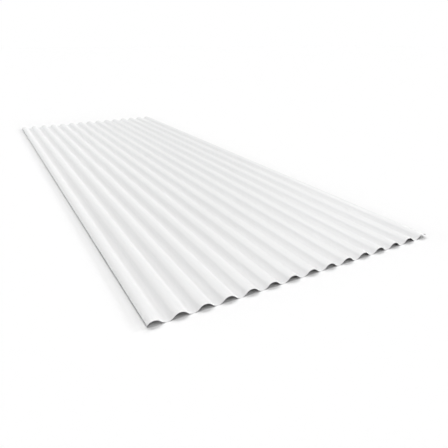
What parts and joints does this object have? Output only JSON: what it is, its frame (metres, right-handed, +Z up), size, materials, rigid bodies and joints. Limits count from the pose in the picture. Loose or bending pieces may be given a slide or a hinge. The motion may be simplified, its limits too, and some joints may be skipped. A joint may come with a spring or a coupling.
{
  "type": "corrugated polypropylene sheet",
  "caption": "Long rectangular plastic sheet formed into even round waves that run its whole length, for roofing, lining or screening.",
  "frame": {"origin": "on the floor, under the middle of the sheet as it lies flat on its troughs", "axes": "+X across the waves, +Y along the waves and the sheet's length, +Z up"},
  "size_m": [1.1028, 3, 0.018],
  "materials": {
    "white_polypropylene": "white, satin"
  },
  "bodies": {
    "root": {"corrugated_sheet": "white_polypropylene"}
  },
  "joints": []
}
